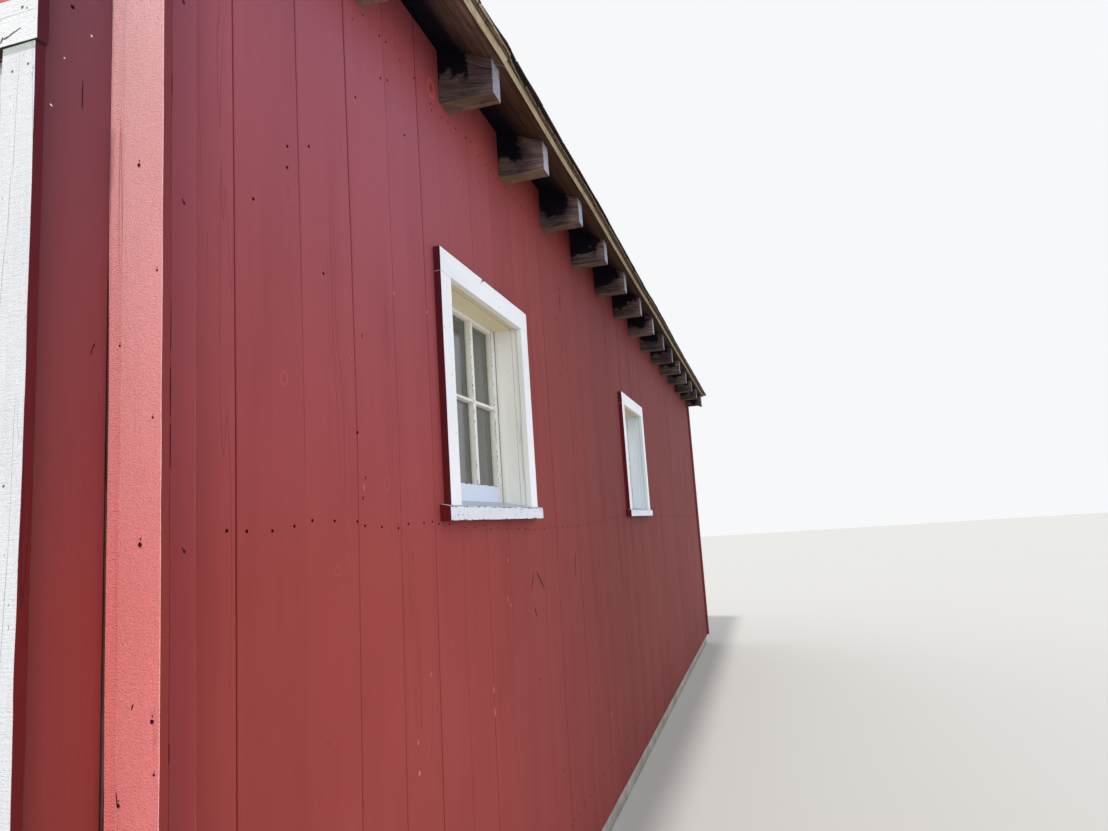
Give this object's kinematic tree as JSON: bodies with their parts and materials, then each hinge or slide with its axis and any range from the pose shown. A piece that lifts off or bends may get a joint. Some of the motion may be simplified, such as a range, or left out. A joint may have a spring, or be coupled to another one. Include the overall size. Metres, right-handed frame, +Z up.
{
  "type": "timber barn",
  "caption": "Board-clad timber barn with gable roof, exposed cut beam tails, deep-set barred windows and closed double doors in a front wall that stands forward.",
  "frame": {"origin": "on the ground plane under the ridge, halfway between the front corner boards' wall and the back wall", "axes": "+X across the building towards the pictured side wall, +Y along the ridge away from the door front, +Z up"},
  "size_m": [6.647, 9.542, 4.5862],
  "materials": {
    "concrete": "matt, cast",
    "frame_wood": "rough sawn",
    "red_boards": "matt barn red paint, chipped at nails",
    "white_trim": "matt white paint over rough boards",
    "cream_trim": "aged cream paint, cracked",
    "glass": "clear",
    "weathered_wood": "bare weathered timber",
    "wood_shingles": "old split shingles",
    "asphalt_shingles": "mineral granules on felt"
  },
  "bodies": {
    "root": {"foundation_front": "concrete", "foundation_back": "concrete", "foundation_left": "concrete", "foundation_right": "concrete", "floor_slab": "concrete", "right_frame": "frame_wood", "left_frame": "frame_wood", "back_frame": "frame_wood", "front_frame": "frame_wood", "right_wall": "red_boards", "left_wall": "red_boards", "back_wall": "red_boards", "front_gable": "red_boards", "front_piers": "red_boards", "front_cheeks": "red_boards", "front_returns": "red_boards", "front_corner_boards": "red_boards", "back_corner_boards": "red_boards", "right_window_casings": "white_trim", "left_window_casings": "white_trim", "right_window_sills": "white_trim", "left_window_sills": "white_trim", "right_window_jambs": "cream_trim", "left_window_jambs": "cream_trim", "right_window_sashes": "cream_trim", "left_window_sashes": "cream_trim", "right_window_glass": "glass", "left_window_glass": "glass", "tie_beams": "weathered_wood", "rafters": "weathered_wood", "ridge_board": "weathered_wood", "right_roof_boards": "weathered_wood", "left_roof_boards": "weathered_wood", "right_wood_shingles": "wood_shingles", "left_wood_shingles": "wood_shingles", "right_shingles": "asphalt_shingles", "left_shingles": "asphalt_shingles", "ridge_cap": "asphalt_shingles", "front_rake_boards": "red_boards", "back_rake_boards": "red_boards", "door_casings": "white_trim", "door_frames": "frame_wood", "door_leaves": "red_boards", "door_braces": "white_trim"}
  },
  "joints": []
}
